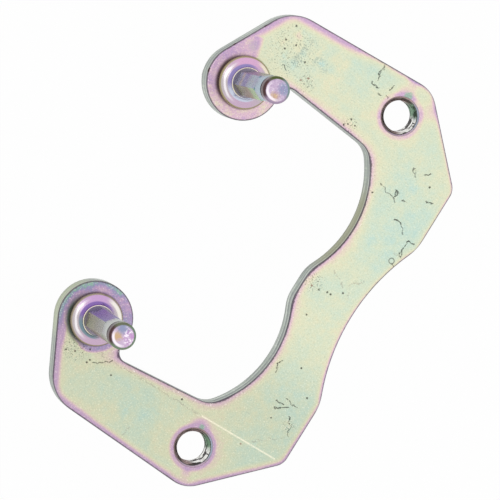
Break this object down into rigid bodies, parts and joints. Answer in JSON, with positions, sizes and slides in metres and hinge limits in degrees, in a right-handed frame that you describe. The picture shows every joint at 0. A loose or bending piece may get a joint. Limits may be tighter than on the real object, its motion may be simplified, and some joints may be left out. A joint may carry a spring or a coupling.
{
  "type": "brake caliper bracket",
  "caption": "Flat C-shaped steel bracket with rounded ears that carry fixed guide pins and threaded holes that fasten it to an axle or knuckle.",
  "frame": {"origin": "middle of the mounting hole pattern, half way through the plate's thickness", "axes": "+Z out of the front face along the pins' shanks, +Y along the line of the mounting holes, +X away from the pins"},
  "size_m": [0.0938, 0.156, 0.086],
  "materials": {
    "plate_zinc": "steel plate with a yellow chromated zinc coat, iridescent pale green and lilac, scratched and pitted",
    "pin_zinc": "turned steel with the same coat, brighter and more violet"
  },
  "bodies": {
    "root": {"bracket_plate": "plate_zinc", "upper_guide_pin": "pin_zinc", "lower_guide_pin": "pin_zinc"}
  },
  "joints": []
}
